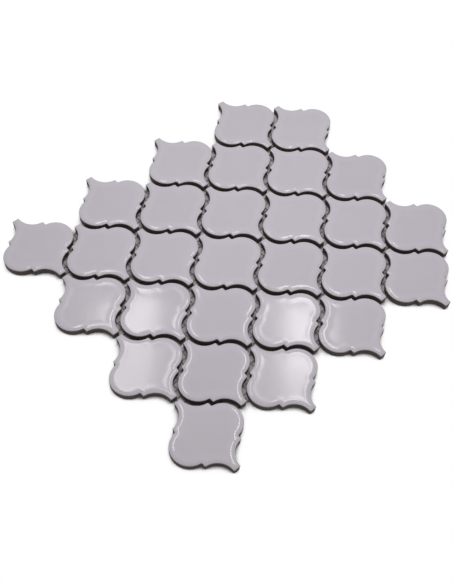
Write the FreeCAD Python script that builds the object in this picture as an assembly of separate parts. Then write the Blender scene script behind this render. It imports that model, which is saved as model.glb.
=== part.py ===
"""Sheet of glazed Moroccan arabesque (lantern) mosaic tiles on a glass-fibre backing net.

Seven rows of four loose tiles lie face up in a staggered lattice. Each tile has two round
lobes along X, two blunt tips along Y and a square step half way along each of its four
sides, so that its lobes fill the hollows of its neighbours with an even open joint.
Z = 0 is the underside of the net, and the origin is under the middle of the sheet.
"""
import FreeCAD, Part
import math
import os

from FreeCAD import Vector

# Layout of the sheet
pitch_across = 64.0     # centre to centre of two tiles beside each other in a row
pitch_along = 62.0      # centre to centre of two tiles tip to tip, two rows apart
row_count = 7
tiles_per_row = 4

# Open joints between neighbouring tiles
joint = 2.7             # tip to tip, lobe to tip, and step to step
notch_joint = 2.0       # narrowest place, where a lobe passes its neighbour's step
hollow_joint = 3.2      # widest place, half way round a lobe

# One tile
tip_width = 5.3         # blunt end of a tip
step_rise = 2.8         # from the crown of a lobe up to the floor of the hollow above it

tile_thickness = 6.0

# Backing net, two layers of flat yarns laid crosswise
yarn_pitch = 5.0
yarn_width = 0.9
yarn_thickness = 0.25
net_margin = 2.0        # the net is trimmed this far inside the outline of the sheet

# Sizes that follow from the lattice and the joints
tip_reach = (pitch_along - joint) / 2
lobe_reach = pitch_across / 2 - tip_width / 2 - joint
lobe_radius = (pitch_along / 2 - notch_joint - step_rise) / 2
lobe_centre = lobe_reach - lobe_radius
step_x = pitch_across / 4 - joint / 2
step_foot = math.sqrt(lobe_radius**2 - (step_x - lobe_centre)**2)
neighbour_lobe = Vector(pitch_across / 2 - lobe_centre, pitch_along / 2, 0)
step_head = neighbour_lobe.y - math.sqrt((lobe_radius + notch_joint)**2 - (neighbour_lobe.x - step_x)**2)
hollow_diagonal = (lobe_radius + hollow_joint) * math.sqrt(0.5)
net_thickness = 2 * yarn_thickness
row_pitch = pitch_along / 2
half_sheet_across = (tiles_per_row - 0.5) * pitch_across / 2 + lobe_reach
half_sheet_along = (row_count - 1) * row_pitch / 2 + tip_reach


def arc(start, middle, end):
    return Part.Arc(start, middle, end).toShape()


def line(start, end):
    return Part.LineSegment(start, end).toShape()


def tile_outline():
    """Closed outline of one tile about its centre: tips along Y and lobes along X.

    The hollow beside a tip is an arc through the tip's corner, the head of the step, and
    a point that stands off the neighbour's lobe by the widest joint.
    """
    tip_corner = Vector(tip_width / 2, tip_reach, 0)
    hollow = neighbour_lobe - Vector(hollow_diagonal, hollow_diagonal, 0)
    head = Vector(step_x, step_head, 0)
    foot = Vector(step_x, step_foot, 0)
    lobe_end = Vector(lobe_reach, 0, 0)

    def turned(point, side, end):
        return Vector(side * point.x, end * point.y, 0)

    edges = [
        arc(turned(foot, 1, 1), lobe_end, turned(foot, 1, -1)),
        arc(turned(foot, -1, -1), -lobe_end, turned(foot, -1, 1)),
    ]
    for end in (1, -1):
        edges.append(line(turned(tip_corner, -1, end), turned(tip_corner, 1, end)))
        for side in (1, -1):
            corner, bay, top, bottom = [turned(p, side, end) for p in (tip_corner, hollow, head, foot)]
            edges.append(arc(corner, bay, top))
            edges.append(line(top, bottom))
    return Part.Wire(Part.__sortEdges__(edges))


def tile_centres():
    """Centres of the tiles, row by row: every second row is set half a pitch across."""
    rows = []
    for row in range(row_count):
        stagger = (row % 2) / 2 - 0.25
        y = ((row_count - 1) / 2 - row) * row_pitch
        first = -(tiles_per_row - 1) / 2
        rows.append([Vector((first + place + stagger) * pitch_across, y, 0)
                     for place in range(tiles_per_row)])
    return rows


def moved(shape, offset):
    copy = shape.copy()
    copy.translate(offset)
    return copy


def sheet_footprint(outline, centres):
    """Area that the net may lie under: all tiles, and the joints between them.

    A joint is filled by the triangles that join the centres of three tiles which meet.
    """
    faces = [Part.Face(moved(outline, centre)) for centre in centres]
    half_x, half_y = pitch_across / 2, pitch_along / 2
    known = {(round(c.x / half_x, 1), round(c.y / half_y, 1)) for c in centres}
    ways = [((1, 1), (1, -1)), ((-1, 1), (-1, -1)), ((1, 1), (-1, 1)), ((1, -1), (-1, -1))]
    for centre in centres:
        for way in ways:
            corners = [centre + Vector(x * half_x, y * half_y, 0) for x, y in way]
            if all((round(c.x / half_x, 1), round(c.y / half_y, 1)) in known for c in corners):
                faces.append(Part.Face(Part.makePolygon([centre] + corners + [centre])))
    return faces[0].multiFuse(faces[1:]).removeSplitter()


def spans(footprint, axis, place):
    """Stretches of a line along the axis that lie on the footprint, as start and end."""
    if axis == "x":
        cut = line(Vector(-half_sheet_across - joint, place, 0), Vector(half_sheet_across + joint, place, 0))
    else:
        cut = line(Vector(place, -half_sheet_along - joint, 0), Vector(place, half_sheet_along + joint, 0))
    pieces = []
    for edge in footprint.common(cut).Edges:
        box = edge.BoundBox
        pieces.append((box.XMin, box.XMax) if axis == "x" else (box.YMin, box.YMax))
    joined = []
    for start, end in sorted(pieces):
        if joined and start - joined[-1][1] < 0.01:
            joined[-1] = (joined[-1][0], max(end, joined[-1][1]))
        else:
            joined.append((start, end))
    return joined


def yarns(footprint, axis, half_length, bottom):
    """One layer of parallel yarns along the axis, each a flat strip with square ends.

    A yarn lies only where the footprint reaches the margin beyond both of its sides, and
    it stops the margin short of the footprint's edge.
    """
    count = int(half_length / yarn_pitch)
    strips = []
    for number in range(-count, count + 1):
        place = number * yarn_pitch
        below = spans(footprint, axis, place - net_margin)
        above = spans(footprint, axis, place + net_margin)
        for first in below:
            for second in above:
                start = max(first[0], second[0]) + net_margin
                end = min(first[1], second[1]) - net_margin
                if end - start < yarn_pitch:
                    continue
                size = (end - start, yarn_width) if axis == "x" else (yarn_width, end - start)
                corner = (start, place - yarn_width / 2) if axis == "x" else (place - yarn_width / 2, start)
                strips.append(Part.makeBox(*size, yarn_thickness, Vector(*corner, bottom)))
    return Part.makeCompound(strips)


def main():
    os.makedirs("parts", exist_ok=True)
    outline = tile_outline()
    tile = Part.Face(outline).extrude(Vector(0, 0, tile_thickness))
    rows = tile_centres()

    for number, row in enumerate(rows, start=1):
        tiles = [moved(tile, centre + Vector(0, 0, net_thickness)) for centre in row]
        Part.makeCompound(tiles).exportStep(f"parts/tile_row_{number}.step")

    footprint = sheet_footprint(outline, [centre for row in rows for centre in row])
    warp = yarns(footprint, "y", half_sheet_across, 0)
    weft = yarns(footprint, "x", half_sheet_along, yarn_thickness)
    warp.exportStep("parts/net_warp_yarns.step")
    weft.exportStep("parts/net_weft_yarns.step")


main()
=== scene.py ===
"""Looks of the arabesque tile sheet: 28 glazed cushion-edged tiles on a woven glass-fibre net.

Lengths inside this script are in millimetres until a mesh, a lamp or the camera is placed,
which is in metres. Inside a material they are in metres too, and a noise's scale counts cells
in a metre, but a tile's inset, which is how far a point lies inside its outline, stays in
millimetres.
"""
import math

import bpy
import numpy as np
from mathutils import Matrix, Vector


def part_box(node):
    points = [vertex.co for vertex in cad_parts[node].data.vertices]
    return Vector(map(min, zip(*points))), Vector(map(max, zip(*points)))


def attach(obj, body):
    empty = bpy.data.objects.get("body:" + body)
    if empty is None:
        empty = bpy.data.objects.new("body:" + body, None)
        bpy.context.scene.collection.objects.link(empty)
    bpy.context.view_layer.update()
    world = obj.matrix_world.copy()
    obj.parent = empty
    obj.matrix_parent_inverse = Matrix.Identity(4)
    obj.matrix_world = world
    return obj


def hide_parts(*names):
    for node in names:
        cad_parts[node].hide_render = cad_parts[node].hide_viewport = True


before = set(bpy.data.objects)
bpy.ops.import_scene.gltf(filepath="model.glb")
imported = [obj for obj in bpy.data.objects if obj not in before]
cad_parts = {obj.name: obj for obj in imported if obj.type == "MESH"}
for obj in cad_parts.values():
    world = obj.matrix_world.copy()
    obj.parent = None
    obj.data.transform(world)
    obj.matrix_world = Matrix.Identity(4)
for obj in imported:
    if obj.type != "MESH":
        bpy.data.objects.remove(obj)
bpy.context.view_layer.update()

MM = 0.001

# Layout of the sheet, read from the frame
ROWS = [f"tile_row_{number}" for number in range(1, 8)]
TILES_PER_ROW = 4
row_boxes = [[np.array(corner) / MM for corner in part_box(row)] for row in ROWS]
pitch_across = 2 * abs(row_boxes[1][0][0] - row_boxes[0][0][0])
row_pitch = row_boxes[0][0][1] - row_boxes[1][0][1]
lobe_reach = (row_boxes[0][1][0] - row_boxes[0][0][0] - (TILES_PER_ROW - 1) * pitch_across) / 2
tip_reach = (row_boxes[0][1][1] - row_boxes[0][0][1]) / 2
tile_bottom, tile_top = row_boxes[0][0][2], row_boxes[0][1][2]

# Outline of one tile
TIP_WIDTH = 5.3         # blunt end of a tip
JOINT = 2.7             # open joint from step to step
NOTCH_JOINT = 2.0       # joint where a lobe passes its neighbour's step
HOLLOW_JOINT = 3.2      # joint half way round a lobe
STEP_RISE = 2.8         # from the crown of a lobe up to the floor of the hollow above it
CORNER_SOFTNESS = 0.4   # spread of the average that rounds the corners
OUTLINE_POINTS = 300
FINER = 4               # the outline is moved inwards with this many times the points
INSET_STEP = 0.1        # longest step by which it moves
SOFTER_DEPTH = 6.0      # the average over its points grows by one point in this depth

# Section of one tile's edge
LIP_HEIGHT = 4.5        # from the back up to the lower edge of the glaze
LIP_DEPTH = 0.12        # how far the bare body stands back under the glaze
LEVEL_SPREAD = 0.16     # room at the top for tiles that lie a little out of level
BACK_EDGE = [(0.45, 0.0), (0.22, 0.08), (0.14, 0.3)]    # inset, and height above the back
BARE_FALLS = [0.9, 0.1, 0.0]                            # heights below the glaze's lower edge
GLAZE_EDGE = [(0.03, 0.05), (0.0, 0.2)]                 # inset, and height above that edge
ROLL_RADIUS = 0.55
ROLL_ANGLES = [0, 12, 26, 40, 54, 66, 74]               # degrees turned in from the wall
SLOPES = [                                              # inset, and slope in degrees
    (0.75, 21.0), (1.0, 17.0), (1.3, 13.0), (1.6, 9.8), (1.9, 7.4), (2.15, 6.0),
    (2.4, 5.0), (2.65, 4.0), (2.9, 3.0), (3.15, 1.7), (3.4, 0.4), (3.8, -0.7),
    (4.3, -1.2), (4.9, -1.35), (5.5, -1.25), (6.2, -0.75), (7.1, -0.2), (8.2, 0.0),
]
BACK_SHARES = [0.25, 0.6]           # rings inside the back, as shares of its edge
FIELD_SHARES = [0.8, 0.55, 0.3]     # rings inside the field, as shares of its edge
FIELD_INSET = 9.0                   # inset given to them, past all that varies near the edge

# How the tiles differ
SEED = 28
LEAN_SPREAD = 0.0022                # radians out of level
LEAN_LIMIT = 0.003
TONE_SPREAD = 0.03
LIP_WANDER = 0.04                   # height of each wave in the glaze's lower edge
LIP_WAVES = np.array([2, 5, 9, 16])     # waves round the tile

# Net
YARN_PITCH = 5.0
YARN_HALF_WIDTH = 0.45
YARN_HALF_THICKNESS = 0.11
YARN_WAVE = 0.12        # how far a yarn rises and falls at the crossings
YARN_STEP = 1.25        # longest step along a yarn
YARN_SIDES = 6
YARN_FILL = 0.86        # share of the width that a yarn fills, the rest is room for its sway
YARN_SWAY = 0.06
SWAY_TURN = 0.37        # radians of sway in a millimetre along a yarn
SWAY_SHIFT = 1.7        # radians of sway from one yarn to the next
END_TAPER = 0.75        # size of a yarn's ends against its middle
YARN_MAP = "yarn"

# Studio
FLOOR_REACH = 3000
WHITE = (1.0, 1.0, 1.0, 1.0)
WINDOW_FOOT = (0.005, 0.07)     # shares of a window's height where its light comes in
UPPER_PANE = (0.55, 0.72)       # and where its upper pane begins
WALL_LEVEL = 0.13               # level of the wall round a window against the window's own


def curve_between(centre, start, end, count):
    """Points on the circle about the centre from start to end, the shorter way round: the
    angle runs evenly from one to the other, and the end point is left off."""
    first = math.atan2(start[1] - centre[1], start[0] - centre[0])
    turn = math.atan2(end[1] - centre[1], end[0] - centre[0]) - first
    turn = (turn + math.pi) % (2 * math.pi) - math.pi
    angle = first + turn * np.arange(count) / count
    radius = math.dist(centre, start)
    return np.stack([centre[0] + radius * np.cos(angle), centre[1] + radius * np.sin(angle)], 1)


def straight_between(start, end, count):
    """Points evenly spaced from start towards end, without the end."""
    share = (np.arange(count) / count)[:, None]
    return np.array(start) * (1 - share) + np.array(end) * share


def circle_centre(a, b, c):
    """Centre of the circle through three points: equally far from a, b and c, which is two
    linear equations."""
    a, b, c = np.array(a), np.array(b), np.array(c)
    rows = 2 * np.array([b - a, c - a])
    return np.linalg.solve(rows, [b @ b - a @ a, c @ c - a @ a])


def even_along(points, count):
    """The open line through the points as that many points an equal length apart, both ends
    kept, and that length."""
    length = np.concatenate([[0], np.cumsum(np.hypot(*np.diff(points, axis=0).T))])
    at = np.linspace(0, length[-1], count)
    return np.stack([np.interp(at, length, points[:, axis]) for axis in (0, 1)], 1), at[1]


def all_round(quarter):
    """The closed loop of a quarter that runs from the X axis to the Y axis: the quarter, then
    its mirror images in both axes, anticlockwise."""
    half = np.vstack([quarter, quarter[-2::-1] * [-1, 1]])
    return np.vstack([half, half[-2:0:-1] * [1, -1]])


def soften_loop(points, spread):
    """Weighted average round a closed loop: each point is replaced by its neighbours' mean
    under a bell curve of that spread, counted in points."""
    steps = np.fft.fftfreq(len(points))
    bell = np.exp(-2 * (math.pi * spread * steps) ** 2)[:, None]
    return np.real(np.fft.ifft(np.fft.fft(points, axis=0) * bell, axis=0))


def tile_quarter(count):
    """A quarter of the outline of one tile about its centre, from the crown of the right lobe
    to the middle of the far tip: lobe arc, step, hollow arc and half a tip, with the corners
    softened by an average along the line. The hollow arc goes through the head of the step,
    the tip's corner and a point that stands off the neighbour's lobe by the widest joint."""
    arc_points, step_points, tip_points = 200, 40, 30
    lobe_radius = (row_pitch - NOTCH_JOINT - STEP_RISE) / 2
    lobe = (lobe_reach - lobe_radius, 0)
    step_x = pitch_across / 4 - JOINT / 2
    foot = (step_x, math.sqrt(lobe_radius**2 - (step_x - lobe[0]) ** 2))
    neighbour = (pitch_across / 2 - lobe[0], row_pitch)
    head_drop = math.sqrt((lobe_radius + NOTCH_JOINT) ** 2 - (neighbour[0] - step_x) ** 2)
    head = (step_x, neighbour[1] - head_drop)
    corner = (TIP_WIDTH / 2, tip_reach)
    aside = (lobe_radius + HOLLOW_JOINT) * math.sqrt(0.5)
    bay = (neighbour[0] - aside, neighbour[1] - aside)
    quarter, spacing = even_along(np.vstack([
        curve_between(lobe, (lobe_reach, 0), foot, arc_points),
        straight_between(foot, head, step_points),
        curve_between(circle_centre(head, bay, corner), head, corner, arc_points),
        straight_between(corner, (0, tip_reach), tip_points),
        [(0, tip_reach)],
    ]), count)
    softened = soften_loop(all_round(quarter), CORNER_SOFTNESS / spacing)
    return even_along(softened[:count], count)[0]


def inset_curves(quarter, insets):
    """Closed curves that lie the given insets inside the outline, by inset. The line is moved
    in along its own normal by small steps. After each step it is softened a little, cut off
    where it meets the long axis of the tile, and cut evenly again, so that it rounds its
    corners and closes up in the tips instead of crossing itself."""
    on_axis, no_length = 1e-6, 1e-9
    reached, curves = 0.0, {}
    for inset in sorted(set(insets)):
        steps = math.ceil((inset - reached) / INSET_STEP)
        for _ in range(steps):
            loop = all_round(quarter)
            run = np.roll(loop, -1, axis=0) - np.roll(loop, 1, axis=0)
            inward = np.stack([-run[:, 1], run[:, 0]], 1) / np.hypot(*run.T)[:, None]
            moved = soften_loop(loop + inward * (inset - reached) / steps, 1 + inset / SOFTER_DEPTH)
            moved = moved[:len(quarter)]
            meets = max(1, int((moved[:, 0] <= on_axis).argmax()))
            before, after = moved[meets - 1], moved[meets]
            share = before[0] / max(before[0] - after[0], no_length)
            end = [0, before[1] + share * (after[1] - before[1])]
            quarter = even_along(np.vstack([moved[:meets], [end]]), len(quarter))[0]
        reached = inset
        curves[inset] = all_round(quarter)[::FINER]
    return curves


def cushion_section():
    """Insets of the glazed top from the wall to the field, and its heights against its highest
    place. First comes the roll: its inset is the radius times one less the cosine of the angle
    turned, and its height the radius times the sine. Then the height is the running sum of
    the table's slopes. They turn over at a faint bead where the glaze gathers round the field,
    and the field inside it is dished a little."""
    turned = np.radians(ROLL_ANGLES)
    roll_inset = ROLL_RADIUS * (1 - np.cos(turned))
    roll_height = ROLL_RADIUS * np.sin(turned)
    inset, slope = (np.array(column) for column in zip(*SLOPES))
    rise = np.tan(np.radians(slope))
    climb = np.concatenate([[0], np.cumsum((rise[1:] + rise[:-1]) / 2 * np.diff(inset))])
    gap = (inset[0] - roll_inset[-1]) * rise[0]
    height = np.concatenate([roll_height, roll_height[-1] + gap + climb])
    return np.concatenate([roll_inset, inset]), height - height.max()


def tile_rings():
    """Rings of points of one tile, from the middle of its back, out, up its wall and over the
    cushion to the middle of the field: the rings, their heights, their insets, and the number
    of the first glazed one. The rings inside the back and the field are shares of its edge."""
    top = tile_top - LEVEL_SPREAD
    lip = tile_bottom + LIP_HEIGHT
    bare = [(inset, tile_bottom + rise) for inset, rise in BACK_EDGE]
    bare += [(LIP_DEPTH, lip - fall) for fall in BARE_FALLS]
    glazed = [(inset, lip + rise) for inset, rise in GLAZE_EDGE]
    glazed += [(inset, top + height) for inset, height in zip(*cushion_section())]
    insets, heights = (list(column) for column in zip(*bare, *glazed))
    by_inset = inset_curves(tile_quarter(OUTLINE_POINTS // 4 * FINER + 1), insets)
    curves = [by_inset[inset] for inset in insets]
    rings = [curves[0] * share for share in BACK_SHARES] + curves
    rings += [curves[-1] * share for share in FIELD_SHARES]
    back, field = len(BACK_SHARES), len(FIELD_SHARES)
    heights = [tile_bottom] * back + heights + heights[-1:] * field
    insets = [FIELD_INSET] * back + insets + [FIELD_INSET] * field
    return rings, heights, insets, back + len(bare)


def ring_faces(ring_count, around, first=0, turned=False):
    """Four-sided faces between each ring and the next, and fans that close both ends about the
    two points after the rings. The rings' points are numbered from first, and turned faces
    look the other way. The faces between rings come first, then each end's fan."""
    here = np.arange(around)
    beside = (here + 1) % around
    low = np.arange(ring_count - 1)[:, None] * around
    high = low + around
    quads = np.stack([low + here, low + beside, high + beside, high + here], -1).reshape(-1, 4)
    first_pole, last_pole = ring_count * around, ring_count * around + 1
    start_fan = np.stack([beside, here, np.full(around, first_pole)], 1)
    end = (ring_count - 1) * around
    end_fan = np.stack([end + here, end + beside, np.full(around, last_pole)], 1)
    way = -1 if turned else 1
    parts = [(part[:, ::way] + first).tolist() for part in (quads, start_fan, end_fan)]
    return sum(parts, [])


def mesh_piece(name, points, faces, materials, which=None, smooth=True):
    """A piece whose object sits at the origin, with its place in its mesh."""
    mesh = bpy.data.meshes.new(name)
    mesh.from_pydata(points * MM, [], faces)
    for material in materials:
        mesh.materials.append(material)
    if which is not None:
        mesh.polygons.foreach_set("material_index", which)
    mesh.polygons.foreach_set("use_smooth", np.full(len(mesh.polygons), smooth))
    mesh.update()
    piece = bpy.data.objects.new(name, mesh)
    bpy.context.scene.collection.objects.link(piece)
    return piece


class Shade:
    """One value, colour or vector in a material's nodes. Arithmetic on it adds Math nodes."""

    def __init__(self, tree, socket=None):
        self.tree, self.socket = tree, socket

    def node(self, kind, settings=None, inputs=None, output=0):
        """A node of that kind: its settings first, then its sockets by number or name. It gives
        one output, or a list of them where output is a list."""
        made = self.tree.nodes.new("ShaderNode" + kind)
        for key, value in (settings or {}).items():
            setattr(made, key, value)
        for key, value in (inputs or {}).items():
            if isinstance(value, Shade):
                self.tree.links.new(value.socket, made.inputs[key])
            else:
                made.inputs[key].default_value = value
        if isinstance(output, list):
            return [Shade(self.tree, made.outputs[key]) for key in output]
        return Shade(self.tree, made.outputs[output]) if made.outputs else None

    def math(self, operation, first, second):
        return self.node("Math", {"operation": operation}, {0: first, 1: second})

    def __add__(self, other): return self.math("ADD", self, other)
    def __radd__(self, other): return self.math("ADD", other, self)
    def __sub__(self, other): return self.math("SUBTRACT", self, other)
    def __rsub__(self, other): return self.math("SUBTRACT", other, self)
    def __mul__(self, other): return self.math("MULTIPLY", self, other)
    def __rmul__(self, other): return self.math("MULTIPLY", other, self)

    def between(self, low, high):
        """A smooth ease from 0 at low to 1 at high, level past both. Low may be the greater."""
        return self.node("MapRange", {"interpolation_type": "SMOOTHSTEP"},
                         {"Value": self, "From Min": low, "From Max": high})

    def blend(self, first, second):
        """The first colour where this value is 0, and the second where it is 1."""
        factor, first_colour, second_colour, blended = 0, 6, 7, 2    # a Mix node's colour sockets
        return self.node("Mix", {"data_type": "RGBA"},
                         {factor: self, first_colour: first, second_colour: second}, blended)

    def noise(self, scale, detail):
        """Cloudy values about 0.5 over these coordinates."""
        return self.node("TexNoise", None, {"Vector": self, "Scale": scale, "Detail": detail})


def colour(red, green, blue):
    """A colour as screens name it, 0 to 255, as the light it stands for, by the screen
    standard's curve."""
    parts = np.array([red, green, blue]) / 255
    linear = np.where(parts <= 0.04045, parts / 12.92, ((parts + 0.055) / 1.055) ** 2.4)
    return (*linear.tolist(), 1.0)


def new_material(name):
    """A material without nodes yet, and the start of its nodes."""
    material = bpy.data.materials.new(name)
    material.use_nodes = True
    material.node_tree.nodes.clear()
    return material, Shade(material.node_tree)


def finish_surface(nodes, surface, roughness, ior, relief, depth, strength):
    """The shader of a finish: its colour, its gloss, and a bump that the relief raises by up
    to the depth."""
    bump = nodes.node("Bump", None, {"Strength": strength, "Distance": depth, "Height": relief})
    shader = nodes.node("BsdfPrincipled", None, {
        "Base Color": surface, "Roughness": roughness, "IOR": ior, "Normal": bump})
    nodes.node("OutputMaterial", None, {"Surface": shader})


def glaze_material():
    """Lavender grey gloss glaze: faint clouding, a painted reflection that makes the rim slightly
    paler, a painted highlight line at its inner edge, a broad faint painted sheen round the field
    over the bead where the glaze gathers, an outer edge darkened partly by the clay showing through
    where the glaze has run thin and partly as painted shade of the edge turning down, and the slow
    ripple of fired glaze."""
    material, nodes = new_material("lavender_grey_glaze")
    place = nodes.node("TexCoord", output="Object")
    inset = nodes.node("Attribute", {"attribute_name": "inset"}, output="Fac")
    tone = nodes.node("Attribute", {"attribute_name": "tone"}, output="Fac")
    cloud, fleck, ripple = place.noise(70.0, 3.0), place.noise(900.0, 2.0), place.noise(95.0, 1.0)
    shade = (cloud - 0.5) * 0.25 + (fleck - 0.5) * 0.05 + tone
    body = shade.between(-0.5, 0.5).blend(colour(174, 168, 176), colour(187, 182, 189))
    # Painted reflection: a slightly paler rim outside the highlight line
    painted_rim_reflection = (1 - inset.between(1.6, 3.4)) * 0.05
    # Painted highlight: a fine pale line where the cushion meets the field
    painted_highlight_line = inset.between(2.0, 2.6) * inset.between(3.3, 2.7) * 0.1
    # Painted sheen: a broad faint paler ring over the bead round the field
    painted_sheen_ring = inset.between(1.9, 3.7) * inset.between(7.0, 3.8) * 0.14
    # The paler glaze colour carries these painted highlights and reflections
    glaze_with_painted_sheen = (painted_rim_reflection + painted_highlight_line + painted_sheen_ring).blend(body, colour(200, 196, 204))
    # Darker outer edge: partly clay through thin glaze, partly painted shade of the edge turning
    # down
    thin_glaze_and_painted_shade = (1 - inset.between(0.0, 0.35)) * 0.7
    surface = thin_glaze_and_painted_shade.blend(glaze_with_painted_sheen, colour(92, 82, 78))
    finish_surface(nodes, surface, roughness=0.065, ior=1.6,
                   relief=ripple, depth=0.00002, strength=1.0)
    return material


def body_material():
    """Dark brown fired clay, unglazed: a fine sandy grain in colour and surface."""
    material, nodes = new_material("dark_fired_clay")
    place = nodes.node("TexCoord", output="Object")
    grain, patch = place.noise(1600.0, 3.0), place.noise(160.0, 2.0)
    tint = grain.between(0.35, 0.7) * 0.6 + patch * 0.4
    surface = tint.blend(colour(44, 36, 31), colour(82, 71, 64))
    finish_surface(nodes, surface, roughness=0.85, ior=1.45,
                   relief=grain, depth=0.0001, strength=0.6)
    return material


def yarn_material():
    """Coated glass-fibre yarn: fine filaments twisted round the yarn, on the piece's own map,
    whose first direction runs round the yarn and whose second runs along it in yarn widths. Its
    grey is partly its own and partly painted shade of the deep joints where it shows."""
    material, nodes = new_material("coated_glass_fibre")
    place = nodes.node("UVMap", {"uv_map": YARN_MAP})
    turned = nodes.node("Mapping", None, {"Vector": place, "Rotation": (0.0, 0.0, 0.5)})
    strand = nodes.node("TexWave", {"wave_type": "BANDS", "bands_direction": "X"},
                        {"Vector": turned, "Scale": 2.2, "Distortion": 1.2, "Detail": 2.0})
    speck = nodes.node("TexCoord", output="Object").noise(700.0, 2.0)
    tint = strand * 0.7 + speck * 0.3
    # Yarn's own grey, darkened as painted shade of the deep joints
    surface = tint.between(0.1, 0.9).blend(colour(118, 112, 113), colour(158, 152, 154))
    finish_surface(nodes, surface, roughness=0.5, ior=1.5,
                   relief=strand, depth=0.00008, strength=0.7)
    return material


def background_rays(nodes):
    """1 for a ray from the camera, and 1 for a ray that shows the background as it is, which
    comes from the camera, a mirroring surface or a clear one."""
    seen, mirrored, through = nodes.node(
        "LightPath", output=["Is Camera Ray", "Is Glossy Ray", "Is Transmission Ray"])
    return seen, seen + mirrored + through


def floor_material():
    """White floor: paper to the rays that light the object, and plain white to the eye and
    in the glaze, where it lies open. The object's near shadow stays on it, deepened by painted
    shade:
    to the eye the paper there is darker."""
    material, nodes = new_material("white_floor")
    seen, shown = background_rays(nodes)
    openness = nodes.node("AmbientOcclusion", {"samples": 8}, {"Distance": 0.012}, "AO")
    # Darker paper colour for the camera is painted shade deepening the near shadow where the floor
    # is not open
    paper_with_painted_shadow = nodes.node("BsdfPrincipled", None, {
        "Base Color": seen.blend((0.8, 0.8, 0.8, 1.0), (0.45, 0.43, 0.44, 1.0)),
        "Roughness": 1.0, "Specular IOR Level": 0.0})
    white = nodes.node("Emission", None, {"Color": WHITE, "Strength": 1.0})
    nodes.node("OutputMaterial", None, {"Surface": nodes.node("MixShader", None, {
        "Fac": shown * openness.between(0.43, 0.66), 1: paper_with_painted_shadow, 2: white})})
    return material


def lay_tiles(glaze, body):
    """One piece for every tile. All share the same rings. The glaze's lower edge wanders by a
    sum of sines of the angle about the tile's middle. Each tile lies a little out of level: a
    point rises by its lean times its place, in full at the top and not at all at the back.
    Each is fired a little paler or darker."""
    rings, levels, insets, first_glazed = tile_rings()
    around, count = OUTLINE_POINTS, len(rings)
    faces = ring_faces(count, around)
    which = np.zeros(len(faces), np.int32)
    which[:(first_glazed - 1) * around] = 1             # the back and the bare wall
    which[(count - 1) * around:count * around] = 1      # the fan in the middle of the back
    flat = np.vstack(rings + [np.zeros((2, 2))])
    level = np.concatenate([np.repeat(levels, around), [tile_bottom, levels[-1]]])
    inset = np.concatenate([np.repeat(insets, around), [FIELD_INSET, FIELD_INSET]])
    above = np.clip((level - tile_bottom) / (tile_top - tile_bottom), 0, 1)
    ring_of = np.concatenate([np.repeat(np.arange(count), around), [0, count]])
    lip_start, lip_end = first_glazed - len(BARE_FALLS), first_glazed + len(GLAZE_EDGE)
    at_lip = (lip_start <= ring_of) & (ring_of < lip_end)
    angle = np.arctan2(flat[:, 1], flat[:, 0])
    chance = np.random.default_rng(SEED)
    for number, (row, (low, _)) in enumerate(zip(ROWS, row_boxes), start=1):
        for place in range(TILES_PER_ROW):
            centre = (low[0] + lobe_reach + place * pitch_across, low[1] + tip_reach)
            lean = np.clip(chance.normal(0, LEAN_SPREAD, 2), -LEAN_LIMIT, LEAN_LIMIT)
            phases = chance.uniform(0, 2 * math.pi, len(LIP_WAVES))
            wander = (LIP_WANDER * np.sin(angle[:, None] * LIP_WAVES + phases)).sum(1)
            z = level + above * (flat @ lean) + at_lip * wander
            points = np.column_stack([flat + centre, np.minimum(z, tile_top)])
            name = f"glazed_tile_r{number}_c{place + 1}"
            piece = mesh_piece(name, points, faces, [glaze, body], which)
            tone = np.full(len(flat), chance.normal(0, TONE_SPREAD))
            for title, values in (("inset", inset), ("tone", tone)):
                attribute = piece.data.attributes.new(title, "FLOAT", "POINT")
                attribute.data.foreach_set("value", values)
            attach(piece, "root")
            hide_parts(row)


def yarn_spans(node, along):
    """Where the frame's yarns lie: for each yarn its place across, its start and its end."""
    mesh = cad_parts[node].data
    corners = np.empty(len(mesh.vertices) * 3, np.float32)
    mesh.vertices.foreach_get("co", corners)
    corners = corners.reshape(-1, 3) / MM
    across = np.round(corners[:, 1 - along] / YARN_PITCH).astype(int)
    spans = []
    for place in np.unique(across):
        ends = np.unique(np.round(corners[across == place, along], 2))
        spans += [(place, start, end) for start, end in zip(ends[::2], ends[1::2])]
    return spans


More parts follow.
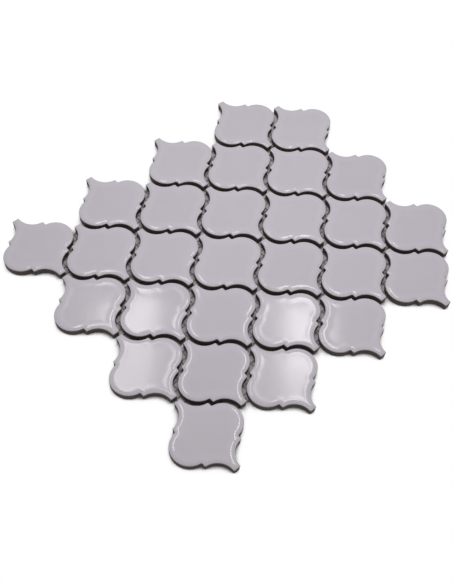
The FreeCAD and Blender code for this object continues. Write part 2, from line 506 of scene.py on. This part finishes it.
def net_layer(name, node, along, sense, material):
    """One layer of the net, of yarns along X (0) or Y (1). Each is a flattened round tube. Its
    middle goes over and under the crossing yarns: its height is a cosine with a crest at every
    second crossing, or a trough there in the layer of the other sense. It sways aside by a
    slow sine, and its ends are tapered."""
    turn = np.arange(YARN_SIDES) * 2 * math.pi / YARN_SIDES
    points, faces, yarn_map, base = [], [], [], 0
    for place, start, end in yarn_spans(node, along):
        count = max(2, math.ceil((end - start) / YARN_STEP) + 1)
        way = np.linspace(start, end, count)
        taper = np.ones(count)
        taper[[0, -1]] = END_TAPER
        crests = np.cos(math.pi * (way / YARN_PITCH + place))
        middle = tile_bottom / 2 + sense * YARN_WAVE * crests
        side = place * YARN_PITCH + YARN_SWAY * np.sin(way * SWAY_TURN + place * SWAY_SHIFT)
        wide = side[:, None] + YARN_HALF_WIDTH * YARN_FILL * taper[:, None] * np.cos(turn)
        high = middle[:, None] + YARN_HALF_THICKNESS * taper[:, None] * np.sin(turn)
        tube = np.empty((count, YARN_SIDES, 3))
        tube[..., along], tube[..., 1 - along], tube[..., 2] = way[:, None], wide, high
        points += [tube.reshape(-1, 3), tube[[0, -1]].mean(1)]
        faces += ring_faces(count, YARN_SIDES, first=base, turned=along == 1)
        base += count * YARN_SIDES + 2
        turns = np.tile(np.arange(YARN_SIDES) / YARN_SIDES, count)
        run = np.repeat(way / (2 * YARN_HALF_WIDTH), YARN_SIDES)
        yarn_map += [np.column_stack([turns, run]), [[0.5, run[0]], [0.5, run[-1]]]]
    piece = mesh_piece(name, np.vstack(points), faces, [material])
    corner_vertex = np.empty(len(piece.data.loops), np.int32)
    piece.data.loops.foreach_get("vertex_index", corner_vertex)
    layer = piece.data.uv_layers.new(name=YARN_MAP)
    layer.data.foreach_set("uv", np.vstack(yarn_map)[corner_vertex].astype(np.float32).ravel())
    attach(piece, "root")
    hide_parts(node)


def look_from(thing, place, aim, roll=0.0):
    """Puts a camera or lamp at a place, looking at the aim: its right-hand side is level and
    square to the view, and then turned about the view by the roll in degrees."""
    forward = (Vector(aim) - Vector(place)).normalized()
    right = forward.cross(Vector((0, 0, 1))).normalized()
    upward = right.cross(forward)
    turn = math.radians(roll)
    side = right * math.cos(turn) + upward * math.sin(turn)
    head = upward * math.cos(turn) - right * math.sin(turn)
    matrix = Matrix((side, head, -forward)).transposed().to_4x4()
    matrix.translation = Vector(place) * MM
    thing.matrix_world = matrix
    bpy.context.scene.collection.objects.link(thing)
    return thing


def area_light(name, place, aim, width, height, level, roll=0.0):
    """A rectangular lamp of the given radiance, hidden from the camera: its power is the
    radiance times pi times its area."""
    data = bpy.data.lights.new(name, "AREA")
    data.shape = "RECTANGLE"
    data.size, data.size_y = width * MM, height * MM
    data.energy = level * math.pi * width * height * MM * MM
    lamp = look_from(bpy.data.objects.new(name, data), place, aim, roll)
    lamp.visible_camera = False
    return lamp


def window_light(name, place, aim, roll, width, height, level, sides, sill, dim, slant):
    """A tall soft window of two panes in a faintly lit wall. Across, its level rises between
    the first two of the four shares of its width, and falls, as the square of an ease, between
    the last two. Up, it comes in at the foot, which slants by the share `slant` of the height
    over the width, and it is the share `dim` lower from the rise `sill` to the upper pane."""
    lamp = area_light(name, place, aim, width, height, level, roll)
    lamp.data.use_nodes = True
    lamp.data.node_tree.nodes.clear()
    nodes = Shade(lamp.data.node_tree)
    on_lamp = nodes.node("NewGeometry", output="Parametric")
    across, upward = nodes.node("SeparateXYZ", None, {"Vector": on_lamp}, ["X", "Y"])
    rise = across.between(sides[0], sides[1])
    fall = across.between(sides[3], sides[2])
    foot = (upward + slant * (across - 0.5)).between(*WINDOW_FOOT)
    dimmer = dim * upward.between(*sill) * upward.between(*UPPER_PANE[::-1])
    panes = foot * (1 - dimmer)
    wall = across.between(0.0, 0.2) * across.between(1.0, 0.75) * upward.between(0.0, 0.03)
    glow = rise * fall * fall * panes + wall * WALL_LEVEL
    nodes.node("OutputLight", None, {"Surface": nodes.node("Emission", None, {"Color": glow})})


def studio():
    """Plain even light, a softbox over the middle of the sheet, two windows that the glaze
    mirrors, and the camera."""
    world = bpy.data.worlds.new("studio")
    bpy.context.scene.world = world
    world.use_nodes = True
    world.node_tree.nodes.clear()
    nodes = Shade(world.node_tree)
    _, shown = background_rays(nodes)
    plain = nodes.node("Background", None, {"Color": (0.985, 0.985, 1.0, 1.0), "Strength": 0.46})
    white = nodes.node("Background", None, {"Color": WHITE, "Strength": 1.0})
    nodes.node("OutputWorld", None, {
        "Surface": nodes.node("MixShader", None, {"Fac": shown, 1: plain, 2: white})})

    # Its aim is a hair off straight down, which would leave look_from no right-hand side
    softbox = area_light("softbox", place=(32, 34, 356), aim=(32, 34.01, 6),
                         width=300, height=300, level=2.75)
    softbox.visible_glossy = False
    window_light("left_window", place=(178, 501, 1148), aim=(-157, -23, 9), roll=-14.0,
                 width=260, height=374, level=4.6, sides=(0.16, 0.35, 0.571, 0.93),
                 sill=(0.18, 0.33), dim=0.36, slant=-0.25)
    window_light("right_window", place=(456, 262, 1141), aim=(-64, -99, 13), roll=13.9,
                 width=217, height=366, level=5.5, sides=(0.05, 0.32, 0.5, 0.88),
                 sill=(0.33, 0.5), dim=0.45, slant=0.15)

    camera = bpy.data.cameras.new("camera")
    camera.lens = 57.414
    bpy.context.scene.camera = look_from(
        bpy.data.objects.new("camera", camera), place=(-281.38, -277.79, 537.08),
        aim=(-34.02, -19.33, 6.2), roll=4.299)
    bpy.context.scene.view_settings.view_transform = "Standard"


def main():
    lay_tiles(glaze_material(), body_material())
    yarn = yarn_material()
    net_layer("net_warp", "net_warp_yarns", along=1, sense=1, material=yarn)
    net_layer("net_weft", "net_weft_yarns", along=0, sense=-1, material=yarn)
    floor_points = FLOOR_REACH * np.array([(-1, -1, 0), (1, -1, 0), (1, 1, 0), (-1, 1, 0)], float)
    floor = mesh_piece("floor", floor_points, [(0, 1, 2, 3)], [floor_material()], smooth=False)
    studio()


main()
